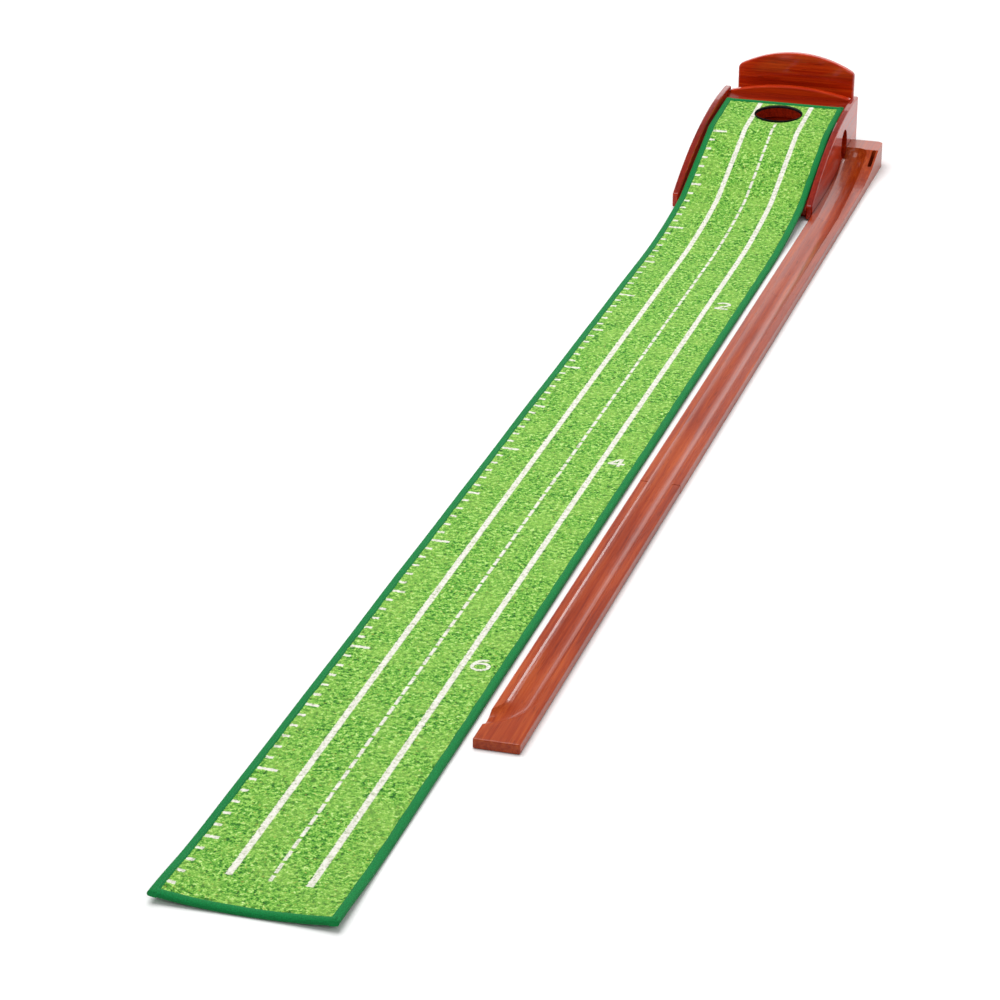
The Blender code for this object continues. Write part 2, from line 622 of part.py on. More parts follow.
def build_tray_head():
    """Far piece: a raised flat block with the pocket that the ball drops into."""
    wood = material("tray_head_wood", TRAY_RED, 0.28)
    start = JOINT_UPPER + GAP / 2
    steps = [HEAD_SLOPE_START + HEAD_SLOPE_RUN * i / 14 for i in range(15)]
    top = [(JOINT_UPPER + run, head_top(run)) for run in steps]
    outline = [(start, 0.0), (start, TRAY_THICK)] + top + [(TRAY_FAR_END, HEAD_TOP), (TRAY_FAR_END, 0.0)]
    head = prism("tray_head", outline, "X", TRAY_IN, TRAY_OUT, wood)
    corner = (TRAY_OUT - HEAD_CORNER, TRAY_FAR_END - HEAD_CORNER)
    shave = arc(corner, HEAD_CORNER, 90, 0, 8)
    shave += [(TRAY_OUT + 0.01, corner[1]), (TRAY_OUT + 0.01, TRAY_FAR_END + 0.01)]
    shave += [(corner[0], TRAY_FAR_END + 0.01)]
    cut(head, prism("corner_cutter", shave, "Z", -0.01, HEAD_TOP + 0.01, wood))
    pocket = Vector((TRAY_IN + POCKET_INSET, EXIT_Y, POCKET_FLOOR + CHANNEL_RADIUS))
    path = [Vector((TRAY_MID, JOINT_UPPER - 0.02, CHANNEL_FLOOR + CHANNEL_RADIUS))]
    for i in range(15):
        run = (EXIT_Y - JOINT_UPPER) * i / 14
        x = TRAY_MID + (pocket.x - TRAY_MID) * i / 14
        path.append(Vector((x, JOINT_UPPER + run, head_channel_floor(run) + CHANNEL_RADIUS)))
    cut(head, swept_tube("pocket_channel_cutter", path, CHANNEL_RADIUS, wood))
    cut(head, ball("pocket_end_cutter", pocket, CHANNEL_RADIUS, wood))
    entry = rod("pocket_entry_cutter", (TRAY_IN - 0.01, EXIT_Y, EXIT_Z), (pocket[0], EXIT_Y, EXIT_Z),
                EXIT_DIAMETER / 2, wood, 48)
    cut(head, entry)
    slot_x = TRAY_OUT - SLOT_WALL - SLOT_WIDTH / 2
    slot_y = JOINT_UPPER + HEAD_SLOPE_START + HEAD_SLOPE_RUN - SLOT_LENGTH / 2
    reach = SLOT_LENGTH / 2 - SLOT_WIDTH / 2
    slot = arc((slot_x, slot_y + reach), SLOT_WIDTH / 2, 0, 180, 8)
    slot += arc((slot_x, slot_y - reach), SLOT_WIDTH / 2, 180, 360, 8)
    cut(head, prism("slot_cutter", slot, "Z", SLOT_FLOOR, HEAD_TOP + 0.01, wood))
    return head


def fit_tray_pins(pieces):
    """Two pins across each joint, held by the piece nearer the ramp box."""
    brass = material("pin_brass", (0.75, 0.58, 0.28, 1.0), 0.35, 1.0)
    joints = [("head", JOINT_UPPER, "head", "upper"), ("upper", JOINT_MIDDLE, "upper", "middle"),
              ("middle", JOINT_END, "middle", "end")]
    for name, y, holder, receiver in joints:
        for side, side_name in ((-1, "left"), (1, "right")):
            x = TRAY_MID + side * PIN_SPREAD
            start = (x, y - PIN_LENGTH / 2, PIN_Z)
            end = (x, y + PIN_LENGTH / 2, PIN_Z)
            pin = "tray_pin_" + name + "_" + side_name
            rod(pin, start, end, PIN_RADIUS, brass)
            bore = rod(pin + "_bore", (x, start[1] - GAP, PIN_Z), (x, end[1] + GAP, PIN_Z),
                       PIN_RADIUS + PIN_CLEARANCE, brass)
            cut(pieces[holder], bore)
            cut(pieces[receiver], bore)


def fit_locating_dowels(panel, head):
    """Two dowels in the right panel, which the tray's head piece pushes on to."""
    wood = material("locating_dowel_wood", (0.62, 0.44, 0.26, 1.0), 0.6)
    places = (("front", JOINT_UPPER + HEAD_SLOPE_START, PIN_Z),
              ("rear", TRAY_FAR_END - DOWEL_SETBACK, HEAD_TOP / 2))
    for name, y, z in places:
        start = PANEL_OUT - DOWEL_LENGTH / 2
        end = PANEL_OUT + DOWEL_LENGTH / 2
        dowel = "tray_dowel_" + name
        rod(dowel, (start, y, z), (end, y, z), DOWEL_RADIUS, wood)
        bore = rod(dowel + "_bore", (start - GAP, y, z), (end + GAP, y, z),
                   DOWEL_RADIUS + PIN_CLEARANCE, wood)
        cut(panel, bore)
        cut(head, bore)


# ---------------------------------------------------------------- assembly

for old in list(bpy.data.objects):
    bpy.data.objects.remove(old, do_unlink=True)

ORIGIN = bpy.data.objects.new("origin", None)
bpy.context.scene.collection.objects.link(ORIGIN)
ORIGIN.location = -CENTRE

build_runner()
panel_left, panel_right = build_panels()
front_rail, middle_rail = build_rails()
rear_board = build_rear_board()
fit_rail_dowels((panel_left, panel_right), {"front": front_rail, "middle": middle_rail, "rear": rear_board})
hole_deck = build_decks()
build_hole_ring()
fit_hook_tape(hole_deck)
build_chute()
build_pads()
build_backstop()
build_backstop_guides()
tray_middle, tray_upper = build_straight_trays()
tray_end = build_tray_end()
tray_head = build_tray_head()
fit_tray_pins({"head": tray_head, "upper": tray_upper, "middle": tray_middle, "end": tray_end})
fit_locating_dowels(panel_right, tray_head)
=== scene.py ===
"""Looks for the practice putting mat: turf sheet, folded binding, lacquered wood and studio."""
import json
import math

import bmesh
import bpy
import numpy as np
from mathutils import Matrix, Vector

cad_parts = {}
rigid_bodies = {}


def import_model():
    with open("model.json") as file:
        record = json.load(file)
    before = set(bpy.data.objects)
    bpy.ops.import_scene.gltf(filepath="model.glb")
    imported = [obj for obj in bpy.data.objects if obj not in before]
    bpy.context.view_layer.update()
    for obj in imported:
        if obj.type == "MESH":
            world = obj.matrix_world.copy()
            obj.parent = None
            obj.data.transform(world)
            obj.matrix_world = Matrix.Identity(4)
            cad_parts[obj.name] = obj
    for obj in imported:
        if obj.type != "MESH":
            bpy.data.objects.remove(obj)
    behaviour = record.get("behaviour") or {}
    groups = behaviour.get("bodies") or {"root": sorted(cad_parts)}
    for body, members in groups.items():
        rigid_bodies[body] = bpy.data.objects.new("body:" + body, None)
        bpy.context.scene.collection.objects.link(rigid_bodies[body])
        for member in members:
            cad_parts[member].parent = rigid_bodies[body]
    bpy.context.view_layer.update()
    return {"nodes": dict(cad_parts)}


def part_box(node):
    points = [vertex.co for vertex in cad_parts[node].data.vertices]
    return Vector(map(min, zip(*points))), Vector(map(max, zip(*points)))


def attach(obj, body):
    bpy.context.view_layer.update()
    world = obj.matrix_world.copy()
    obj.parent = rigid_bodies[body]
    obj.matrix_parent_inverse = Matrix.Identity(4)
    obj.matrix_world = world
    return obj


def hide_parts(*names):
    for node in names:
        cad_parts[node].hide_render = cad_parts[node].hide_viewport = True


# Only the frame's own pieces may be in the scene when its bounds are read
for left_over in list(bpy.data.objects):
    bpy.data.objects.remove(left_over)

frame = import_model()
nodes = frame["nodes"]
rng = np.random.default_rng(7)

# ---------------------------------------------------------------- sizes read from the frame

left_lo, left_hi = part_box("binding_left")
right_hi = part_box("binding_right")[1]
near_lo, near_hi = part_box("binding_near")
ring_lo, ring_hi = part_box("hole_ring")
MAT_X = left_lo.x
MAT_WIDTH = right_hi.x - left_lo.x
BAND = left_hi.x - left_lo.x
THICK = near_hi.z - near_lo.z
NEAR_Y = left_lo.y
FAR_Y = left_hi.y
HOLE = ((ring_lo.x + ring_hi.x) / 2, (ring_lo.y + ring_hi.y) / 2)
HOLE_RADIUS = (ring_hi.x - ring_lo.x) / 2 + 0.0002

# Marks on the turf, in metres from its left edge and from its near edge
LINE_LEFT = 0.0605
LINE_RIGHT = 0.1455
LINE_HALF = 0.0037
DASH_CENTRE = 0.1040
DASH_HALF = 0.0020
LINES_START = 0.064
DASH_END = 2.4410
TICK_START = BAND + 0.0005
INCH = 0.0252
FOOT = 12 * INCH
ZERO_MARK = 2.397
PILE_STEP = 0.00225
MARK_SOFT = 0.0004

# The way the mat lies: the hole deck's slope, the curl of the near edge, the ripple of the long sides
DECK_SLOPE = 0.0788
CURL_HEIGHT = 0.0062
CURL_REACH = 0.085
CURL_LEAN = 0.15
RIPPLE_HEIGHT = 0.0006
LYING_END = 1.95
LYING_FADE = 0.2

# The smoothed profile of the mat's underside
PROFILE_COUNT = 5027
PROFILE_STEP = 0.0005
SMOOTHING = 63
PAD = SMOOTHING // 2

# The turf grids: jitter and roughness of the pile, and the part of a step moved onto the hole's edge
JITTER = 0.3
PILE_ROUGH = 0.00045
HOLE_SNAP = 0.72
BACKING_STEP = 0.0075
BACKING_THICK = 0.0028

# The numerals' place and stroke, and the height of the hole's black lip over the ring's middle
NUMERAL_U = 0.1665
NUMERAL_BACK = 0.006
NUMERAL_HALF = 0.0023
LIP_RISE = 0.0034


def cad_profile(node):
    """Underside height along Y of a CAD strip, from its own corners."""
    lowest = {}
    for vertex in nodes[node].data.vertices:
        y = round(vertex.co.y, 5)
        lowest[y] = min(lowest.get(y, 1.0), vertex.co.z)
    ys = sorted(lowest)
    return np.array(ys), np.array([lowest[y] for y in ys])


profile_y, profile_z = cad_profile("binding_left")
fine_y = np.linspace(NEAR_Y, FAR_Y, PROFILE_COUNT)
fine_z = np.interp(fine_y, profile_y, profile_z)
window = np.hanning(SMOOTHING)
past_end = fine_z[-1] + DECK_SLOPE * PROFILE_STEP * np.arange(1, PAD + 1)
padded_z = np.concatenate([np.full(PAD, fine_z[0]), fine_z, past_end])
fine_z = np.convolve(padded_z, window / window.sum(), "valid")
fine_s = np.concatenate([[0.0], np.cumsum(np.hypot(np.diff(fine_y), np.diff(fine_z)))])
FLAT_LENGTH = float(fine_s[-1])


def surface(u, s, height):
    """Row-frame points for places on the mat: u across, s along, height above its underside."""
    u, s = np.asarray(u, float), np.asarray(s, float)
    y = np.interp(s, fine_s, fine_y)
    z = np.interp(s, fine_s, fine_z) + height
    side = 2 * u / MAT_WIDTH - 1
    z = z + CURL_HEIGHT * side ** 2 * np.exp(-(s / CURL_REACH) ** 2) * (1 - CURL_LEAN * side)
    edge = np.clip(np.abs(side) * 3 - 2, 0, 1)
    lying = np.clip((LYING_END - s) / LYING_FADE, 0, 1)
    z = z + edge * lying * RIPPLE_HEIGHT * (1 + np.sin(s * 17.0 + 2.0 * side) * np.sin(s * 5.3 + 1.0))
    return np.stack([MAT_X + u, y, z], -1)


# ---------------------------------------------------------------- materials

class Shader:
    """A procedural material being wired up."""

    def __init__(self, name):
        self.material = bpy.data.materials.new(name)
        self.material.use_nodes = True
        self.tree = self.material.node_tree
        self.tree.nodes.clear()
        self.out = self.tree.nodes.new("ShaderNodeOutputMaterial")
        self.bsdf = self.tree.nodes.new("ShaderNodeBsdfPrincipled")
        self.tree.links.new(self.bsdf.outputs["BSDF"], self.out.inputs["Surface"])

    def put(self, target, value):
        """Sets a socket, or links it."""
        if isinstance(value, bpy.types.NodeSocket):
            self.tree.links.new(value, target)
        else:
            target.default_value = value

    def set(self, **values):
        """Sets or links sockets of the surface, underscores standing for spaces."""
        for name, value in values.items():
            self.put(self.bsdf.inputs[name.replace("_", " ")], value)

    def math(self, operation, first, second=0.0):
        node = self.tree.nodes.new("ShaderNodeMath")
        node.operation = operation
        self.put(node.inputs[0], first)
        self.put(node.inputs[1], second)
        return node.outputs[0]

    def mix(self, factor, first, second):
        node = self.tree.nodes.new("ShaderNodeMix")
        node.data_type = "RGBA"
        self.put(node.inputs[0], factor)
        self.put(node.inputs[6], first)
        self.put(node.inputs[7], second)
        return node.outputs[2]

    def place(self, scale=(1, 1, 1), attribute=None):
        """Coordinates on the piece itself, or a stored flat place, scaled."""
        if attribute:
            source = self.tree.nodes.new("ShaderNodeAttribute")
            source.attribute_name = attribute
            vector = source.outputs["Vector"]
        else:
            vector = self.tree.nodes.new("ShaderNodeTexCoord").outputs["Object"]
        node = self.tree.nodes.new("ShaderNodeMapping")
        self.tree.links.new(vector, node.inputs["Vector"])
        node.inputs["Scale"].default_value = scale
        return node.outputs[0]

    def noise(self, vector, scale, detail=2.0, roughness=0.5, distortion=0.0):
        node = self.tree.nodes.new("ShaderNodeTexNoise")
        self.tree.links.new(vector, node.inputs["Vector"])
        node.inputs["Scale"].default_value = scale
        node.inputs["Detail"].default_value = detail
        node.inputs["Roughness"].default_value = roughness
        node.inputs["Distortion"].default_value = distortion
        return node.outputs[0]

    def cells(self, vector, scale):
        node = self.tree.nodes.new("ShaderNodeTexVoronoi")
        self.tree.links.new(vector, node.inputs["Vector"])
        node.inputs["Scale"].default_value = scale
        return node.outputs["Distance"]

    def ramp(self, value, *stops):
        node = self.tree.nodes.new("ShaderNodeValToRGB")
        self.tree.links.new(value, node.inputs[0])
        elements = node.color_ramp.elements
        while len(elements) < len(stops):
            elements.new(0.5)
        for element, (position, colour) in zip(elements, stops):
            element.position = position
            element.color = colour
        return node.outputs[0]

    def range(self, value, low, high, to_low=0.0, to_high=1.0):
        node = self.tree.nodes.new("ShaderNodeMapRange")
        self.put(node.inputs["Value"], value)
        self.put(node.inputs["From Min"], low)
        self.put(node.inputs["From Max"], high)
        self.put(node.inputs["To Min"], to_low)
        self.put(node.inputs["To Max"], to_high)
        return node.outputs[0]

    def bump(self, height, distance, strength=1.0, under=None):
        node = self.tree.nodes.new("ShaderNodeBump")
        node.inputs["Strength"].default_value = strength
        node.inputs["Distance"].default_value = distance
        self.tree.links.new(height, node.inputs["Height"])
        if under is not None:
            self.tree.links.new(under, node.inputs["Normal"])
        return node.outputs[0]


def band(sh, value, centre, half):
    """1 inside centre +- half, 0 outside, with a soft edge."""
    away = sh.math("ABSOLUTE", sh.math("SUBTRACT", value, centre))
    return sh.range(away, half - MARK_SOFT, half + MARK_SOFT, 1.0, 0.0)


def grass_colour(sh, where):
    """Mottled greens of the pile, and the pile's own height: the low gaps are darkened, painted shade, and
    the high tips paled, painted highlight; dry patches and drifts are the turf's own colour.
    """
    clump = sh.noise(where, 190.0, 2.0, 0.6, 0.5)
    blade = sh.noise(where, 520.0, 2.0, 0.6, 0.3)
    drift = sh.noise(where, 20.0, 3.0, 0.6)
    dry = sh.noise(where, 260.0, 1.0, 0.5)
    pile = sh.math("ADD", sh.math("MULTIPLY", clump, 0.60), sh.math("MULTIPLY", blade, 0.40))
    # Painted shade and highlight: very dark green where the pile is low, pale green where it is high.
    colour = sh.ramp(pile, (0.38, (0.004, 0.085, 0.003, 1)), (0.45, (0.050, 0.250, 0.012, 1)),
                     (0.52, (0.165, 0.430, 0.042, 1)), (0.585, (0.340, 0.620, 0.115, 1)),
                     (0.655, (0.620, 0.800, 0.330, 1)))
    colour = sh.mix(sh.range(dry, 0.62, 0.72, 0.0, 0.55), colour, (0.380, 0.330, 0.060, 1))
    yellow = sh.mix(0.45, colour, (0.300, 0.520, 0.085, 1))
    return sh.mix(sh.range(drift, 0.44, 0.62, 0.0, 0.80), colour, yellow), pile


def turf_material():
    """Pile with its printed lines, dashes and ruler ticks, each with a frayed edge."""
    sh = Shader("turf_pile")
    flat = sh.place(attribute="flat")
    split = sh.tree.nodes.new("ShaderNodeSeparateXYZ")
    sh.tree.links.new(flat, split.inputs[0])
    u, s = split.outputs[0], split.outputs[1]
    frays = sh.noise(flat, 520.0, 2.0, 0.6)
    fray = sh.math("MULTIPLY", sh.math("SUBTRACT", frays, 0.5), 0.0034)
    drifts = sh.noise(flat, 610.0, 2.0, 0.6)
    drift = sh.math("MULTIPLY", sh.math("SUBTRACT", drifts, 0.5), 0.0034)
    u = sh.math("ADD", u, fray)
    s = sh.math("ADD", s, drift)
    started = sh.range(s, LINES_START - MARK_SOFT, LINES_START + MARK_SOFT)
    lines = sh.math("MAXIMUM", band(sh, u, LINE_LEFT, LINE_HALF), band(sh, u, LINE_RIGHT, LINE_HALF))
    along = sh.math("SUBTRACT", s, ZERO_MARK - 100 * FOOT)
    inch = sh.math("MODULO", sh.math("ADD", along, INCH / 2), INCH)
    six = sh.math("MODULO", sh.math("ADD", along, INCH / 2), 6 * INCH)
    foot = sh.math("MODULO", sh.math("ADD", along, INCH / 2), 12 * INCH)
    dash = sh.math("MULTIPLY", band(sh, u, DASH_CENTRE, DASH_HALF),
                   band(sh, sh.math("MODULO", along, INCH), INCH / 2, 0.0102))
    before_hole = sh.range(s, DASH_END - MARK_SOFT, DASH_END + MARK_SOFT, 1.0, 0.0)
    dash = sh.math("MULTIPLY", dash, before_hole)
    paint = sh.math("MULTIPLY", sh.math("MAXIMUM", lines, dash), started)
    past_band = sh.range(u, TICK_START - MARK_SOFT, TICK_START + MARK_SOFT)

    def tick(period, reach, half):
        inside = sh.range(u, TICK_START + reach - MARK_SOFT, TICK_START + reach + MARK_SOFT, 1.0, 0.0)
        return sh.math("MULTIPLY", band(sh, period, INCH / 2, half), inside)

    ticks = sh.math("MAXIMUM", tick(inch, 0.0085, 0.0025), tick(six, 0.0150, 0.0026))
    ticks = sh.math("MAXIMUM", ticks, tick(foot, 0.0225, 0.0027))
    ticks = sh.math("MULTIPLY", ticks, past_band)
    ticks = sh.math("MULTIPLY", ticks, sh.range(s, ZERO_MARK + 0.0050, ZERO_MARK + 0.0055, 1.0, 0.0))
    paint = sh.math("MAXIMUM", paint, ticks)
    green, pile = grass_colour(sh, flat)
    # The print is darker and greener where the pile is low: partly green showing through, partly painted
    # shade in the gaps.
    white = sh.ramp(pile, (0.36, (0.36, 0.40, 0.24, 1)), (0.46, (0.66, 0.65, 0.56, 1)),
                    (0.62, (0.84, 0.82, 0.75, 1)))
    worn = sh.range(sh.noise(flat, 150.0, 3.0, 0.6), 0.28, 0.40, 0.62, 1.0)
    colour = sh.mix(sh.math("MULTIPLY", paint, worn), green, white)
    sh.set(Base_Color=colour, Roughness=0.82)
    sh.bsdf.inputs["Specular IOR Level"].default_value = 0.25
    sh.bsdf.inputs["Sheen Weight"].default_value = 0.04
    sh.bsdf.inputs["Sheen Roughness"].default_value = 0.5
    sh.set(Normal=sh.bump(pile, 0.0022, 0.85))
    return sh.material


def mark_material():
    """Off-white print on the pile, darker and greener where the noise that bumps it is low: partly green
    showing through, partly painted shade.
    """
    sh = Shader("printed_mark")
    where = sh.place()
    pile = sh.noise(where, 420.0, 3.0, 0.6)
    sh.set(Base_Color=sh.ramp(pile, (0.34, (0.28, 0.42, 0.12, 1)), (0.46, (0.66, 0.67, 0.54, 1)),
                              (0.62, (0.84, 0.83, 0.75, 1))), Roughness=0.8)
    sh.set(Normal=sh.bump(pile, 0.0015, 0.8))
    return sh.material


def backing_material():
    """Black moulded backing with fine dots."""
    sh = Shader("turf_backing")
    where = sh.place()
    dots = sh.cells(where, 190.0)
    grain = sh.noise(where, 700.0, 2.0)
    black = sh.ramp(grain, (0.3, (0.016, 0.017, 0.017, 1)), (0.7, (0.045, 0.047, 0.046, 1)))
    sh.set(Base_Color=black, Roughness=0.9)
    sh.set(Normal=sh.bump(sh.math("ADD", dots, sh.math("MULTIPLY", grain, 0.3)), 0.0012, 0.8))
    return sh.material


def binding_material():
    """Green woven tape, with its ribs running across it."""
    sh = Shader("binding_tape")
    flat = sh.place(attribute="flat")
    split = sh.tree.nodes.new("ShaderNodeSeparateXYZ")
    sh.tree.links.new(flat, split.inputs[0])
    ribs = sh.math("SINE", sh.math("MULTIPLY", split.outputs[1], 2 * math.pi / 0.0011))
    cross = sh.math("SINE", sh.math("MULTIPLY", split.outputs[0], 2 * math.pi / 0.0009))
    weave = sh.math("MULTIPLY", sh.math("ADD", sh.math("MULTIPLY", ribs, cross), ribs), 0.25)
    fuzz = sh.noise(flat, 620.0, 3.0, 0.6)
    drift = sh.noise(flat, 34.0, 2.0)
    tone = sh.math("ADD", sh.math("MULTIPLY", weave, 0.30), sh.math("MULTIPLY", fuzz, 0.9))
    colour = sh.ramp(tone, (0.20, (0.000, 0.085, 0.020, 1)), (0.48, (0.001, 0.215, 0.045, 1)),
                     (0.80, (0.008, 0.400, 0.110, 1)))
    colour = sh.mix(sh.range(drift, 0.35, 0.7, 0.0, 0.35), colour, (0.001, 0.150, 0.032, 1))
    sh.set(Base_Color=colour, Roughness=0.75)
    sh.bsdf.inputs["Sheen Weight"].default_value = 0.03
    sh.bsdf.inputs["Specular IOR Level"].default_value = 0.15
    sh.set(Normal=sh.bump(sh.math("ADD", weave, fuzz), 0.0005, 0.8))
    return sh.material


def thread_material():
    """Twisted green sewing thread."""
    sh = Shader("binding_thread")
    twist = sh.noise(sh.place(), 1400.0, 2.0)
    green = sh.ramp(twist, (0.3, (0.002, 0.110, 0.025, 1)), (0.7, (0.015, 0.260, 0.075, 1)))
    sh.set(Base_Color=green, Roughness=0.55)
    sh.set(Normal=sh.bump(twist, 0.0003, 0.7))
    return sh.material


def wood_material(name, grain_axis, dark, mid, light, gloss=0.07, coat=0.55, painted_top_shade=0.0):
    """Stained wood under clear lacquer, its grain along one axis; faces turned upward can be given painted
    shade.
    """
    sh = Shader(name)
    stretch = [34.0, 34.0, 34.0]
    stretch["XYZ".index(grain_axis)] = 1.5
    fine_stretch = [260.0, 260.0, 260.0]
    fine_stretch["XYZ".index(grain_axis)] = 6.0
    pore_stretch = [900.0, 900.0, 900.0]
    pore_stretch["XYZ".index(grain_axis)] = 40.0
    cloud = sh.noise(sh.place(scale=(5.0, 5.0, 5.0)), 1.0, 2.0, 0.5)
    broad = sh.noise(sh.place(scale=stretch), 1.0, 3.0, 0.55, 0.6)
    fine = sh.noise(sh.place(scale=fine_stretch), 1.0, 3.0, 0.6, 0.3)
    pores = sh.noise(sh.place(scale=pore_stretch), 1.0, 1.0, 0.5)
    tone = sh.math("ADD", sh.math("MULTIPLY", broad, 0.30), sh.math("MULTIPLY", fine, 0.50))
    tone = sh.math("ADD", tone, sh.math("MULTIPLY", cloud, 0.30))
    middle = 0.55
    colour = sh.ramp(tone, (middle - 0.13, dark), (middle, mid), (middle + 0.13, light))
    pore = sh.range(pores, 0.60, 0.72, 0.0, 0.45)
    colour = sh.mix(pore, colour, tuple(c * 0.45 for c in dark[:3]) + (1,))
    if painted_top_shade:
        # Painted shade: faces turned upward are darkened towards half the dark colour, by up to the given
        # share.
        split = sh.tree.nodes.new("ShaderNodeSeparateXYZ")
        sh.tree.links.new(sh.tree.nodes.new("ShaderNodeTexCoord").outputs["Normal"], split.inputs[0])
        upward = sh.range(split.outputs[2], 0.50, 0.90, 0.0, painted_top_shade)
        colour = sh.mix(upward, colour, tuple(c * 0.5 for c in dark[:3]) + (1,))
    sh.set(Base_Color=colour, Roughness=sh.range(fine, 0.3, 0.7, 0.30, 0.42))
    sh.bsdf.inputs["Coat Weight"].default_value = coat
    sh.bsdf.inputs["Coat Roughness"].default_value = gloss
    sh.bsdf.inputs["Coat IOR"].default_value = 1.5
    sh.bsdf.inputs["Specular IOR Level"].default_value = 0.04
    wave = sh.noise(sh.place(scale=(14, 14, 14)), 1.0, 2.0)
    sh.set(Normal=sh.bump(pores, 0.0002, 0.25, under=sh.bump(wave, 0.0015, 0.10)))
    sh.set(Coat_Normal=sh.bump(wave, 0.0015, 0.12))
    return sh.material


def bare_wood_material():
    """The dowels' plain pale wood."""
    sh = Shader("bare_wood")
    broad = sh.noise(sh.place(scale=(3, 60, 60)), 1.0, 4.0, 0.6, 0.4)
    fine = sh.noise(sh.place(scale=(20, 500, 500)), 1.0, 2.0)
    tone = sh.math("ADD", sh.math("MULTIPLY", broad, 0.7), sh.math("MULTIPLY", fine, 0.3))
    sh.set(Base_Color=sh.ramp(tone, (0.35, (0.42, 0.22, 0.10, 1)), (0.55, (0.62, 0.40, 0.22, 1)),
                              (0.70, (0.74, 0.54, 0.33, 1))), Roughness=0.6)
    sh.set(Normal=sh.bump(tone, 0.0003, 0.5))
    return sh.material


def brass_material():
    """Brushed brass of the pins."""
    sh = Shader("brass")
    scratch = sh.noise(sh.place(scale=(900, 60, 900)), 1.0, 3.0)
    yellow = sh.ramp(scratch, (0.35, (0.50, 0.33, 0.10, 1)), (0.65, (0.78, 0.56, 0.22, 1)))
    sh.set(Base_Color=yellow, Roughness=sh.range(scratch, 0.3, 0.7, 0.22, 0.38))
    sh.bsdf.inputs["Metallic"].default_value = 1.0
    sh.set(Normal=sh.bump(scratch, 0.0001, 0.4))
    return sh.material


def dark_material(name, low, high, roughness, scale, depth):
    """Black rubber or hook tape."""
    sh = Shader(name)
    where = sh.place()
    grain = sh.noise(where, scale, 3.0, 0.6)
    spots = sh.cells(where, scale * 0.8)
    sh.set(Base_Color=sh.ramp(grain, (0.35, low), (0.65, high)), Roughness=roughness)
    sh.set(Normal=sh.bump(sh.math("ADD", grain, sh.math("MULTIPLY", spots, 0.5)), depth, 0.7))
    return sh.material


def ring_material(lip_height):
    """Black moulded lip, with the hole's dark stained wall under it."""
    sh = Shader("cup_ring")
    where = sh.place()
    split = sh.tree.nodes.new("ShaderNodeSeparateXYZ")
    sh.tree.links.new(where, split.inputs[0])
    grain = sh.noise(where, 260.0, 3.0, 0.6)
    level = sh.math("SUBTRACT", split.outputs[2], sh.math("MULTIPLY", split.outputs[1], DECK_SLOPE))
    low = sh.range(level, lip_height - 0.0003, lip_height + 0.0003, 1.0, 0.0)
    black = sh.ramp(grain, (0.35, (0.004, 0.004, 0.004, 1)), (0.65, (0.014, 0.014, 0.014, 1)))
    stain = sh.ramp(grain, (0.35, (0.160, 0.006, 0.001, 1)), (0.65, (0.340, 0.016, 0.002, 1)))
    sh.set(Base_Color=sh.mix(low, black, stain), Roughness=0.8)
    sh.bsdf.inputs["Specular IOR Level"].default_value = 0.05
    sh.set(Normal=sh.bump(grain, 0.0002, 0.5))
    return sh.material


BOARD = ((0.230, 0.006, 0.0005, 1), (0.390, 0.016, 0.001, 1), (0.520, 0.040, 0.003, 1))
TRAY = ((0.210, 0.018, 0.002, 1), (0.320, 0.038, 0.005, 1), (0.420, 0.070, 0.011, 1))
# The decks' colours are the board colours darkened by about half: painted shade on the recessed decks.
DECK_SHADED = ((0.110, 0.004, 0.0005, 1), (0.200, 0.009, 0.001, 1), (0.300, 0.022, 0.002, 1))
board_x = wood_material("cherry_boards_across", "X", *BOARD)
# The panels' top faces get painted shade.
board_y = wood_material("cherry_panels", "Y", *BOARD, painted_top_shade=0.6)
deck_shaded = wood_material("cherry_decks", "X", *DECK_SHADED)
tray_y = wood_material("cherry_tray", "Y", *TRAY, gloss=0.15, coat=0.42)
bare = bare_wood_material()
brass = brass_material()
rubber = dark_material("foot_rubber", (0.012, 0.012, 0.012, 1), (0.035, 0.035, 0.035, 1),
                       0.85, 500.0, 0.0004)
ring_lip = ring_material((ring_lo.z + ring_hi.z) / 2 + LIP_RISE - DECK_SLOPE * HOLE[1])
hooks = dark_material("hook_tape_nylon", (0.010, 0.010, 0.010, 1), (0.050, 0.050, 0.050, 1),
                      0.7, 1300.0, 0.0012)

LOOKS = {
    "board_wood": board_x,
    "tray_wood": tray_y,
    "deck_wood": deck_shaded,
    "dowel": bare,
    "brass_pin": brass,
    "rubber": rubber,
    "ring": ring_lip,
    "hook_tape": hooks,
}

for name, node in nodes.items():
    slot = node.data.materials[0].name.split(".")[0] if node.data.materials else ""
    chosen = board_y if name.startswith("side_panel") else LOOKS.get(slot)
    if chosen is None:
        continue
    for place in node.material_slots:
        place.material = chosen


# ---------------------------------------------------------------- pieces of the turf runner

def new_mesh(name, points, faces, material, flat=None, smooth=True):
    """An object from arrays of points and equal-sided faces."""
    mesh = bpy.data.meshes.new(name)
    points = np.asarray(points, np.float32)
    faces = np.asarray(faces, np.int32)
    mesh.vertices.add(len(points))
    mesh.vertices.foreach_set("co", points.ravel())
    mesh.loops.add(faces.size)
    mesh.loops.foreach_set("vertex_index", faces.ravel())
    mesh.polygons.add(len(faces))
    starts = np.arange(0, faces.size, faces.shape[1], dtype=np.int32)
    mesh.polygons.foreach_set("loop_start", starts)
    mesh.update(calc_edges=True)
    mesh.polygons.foreach_set("use_smooth", np.full(len(faces), smooth))
    if flat is not None:
        attribute = mesh.attributes.new("flat", "FLOAT_VECTOR", "POINT")
        attribute.data.foreach_set("vector", np.asarray(flat, np.float32).ravel())
    mesh.materials.append(material)
    mesh.validate()
    obj = bpy.data.objects.new(name, mesh)
    bpy.context.scene.collection.objects.link(obj)
    return obj


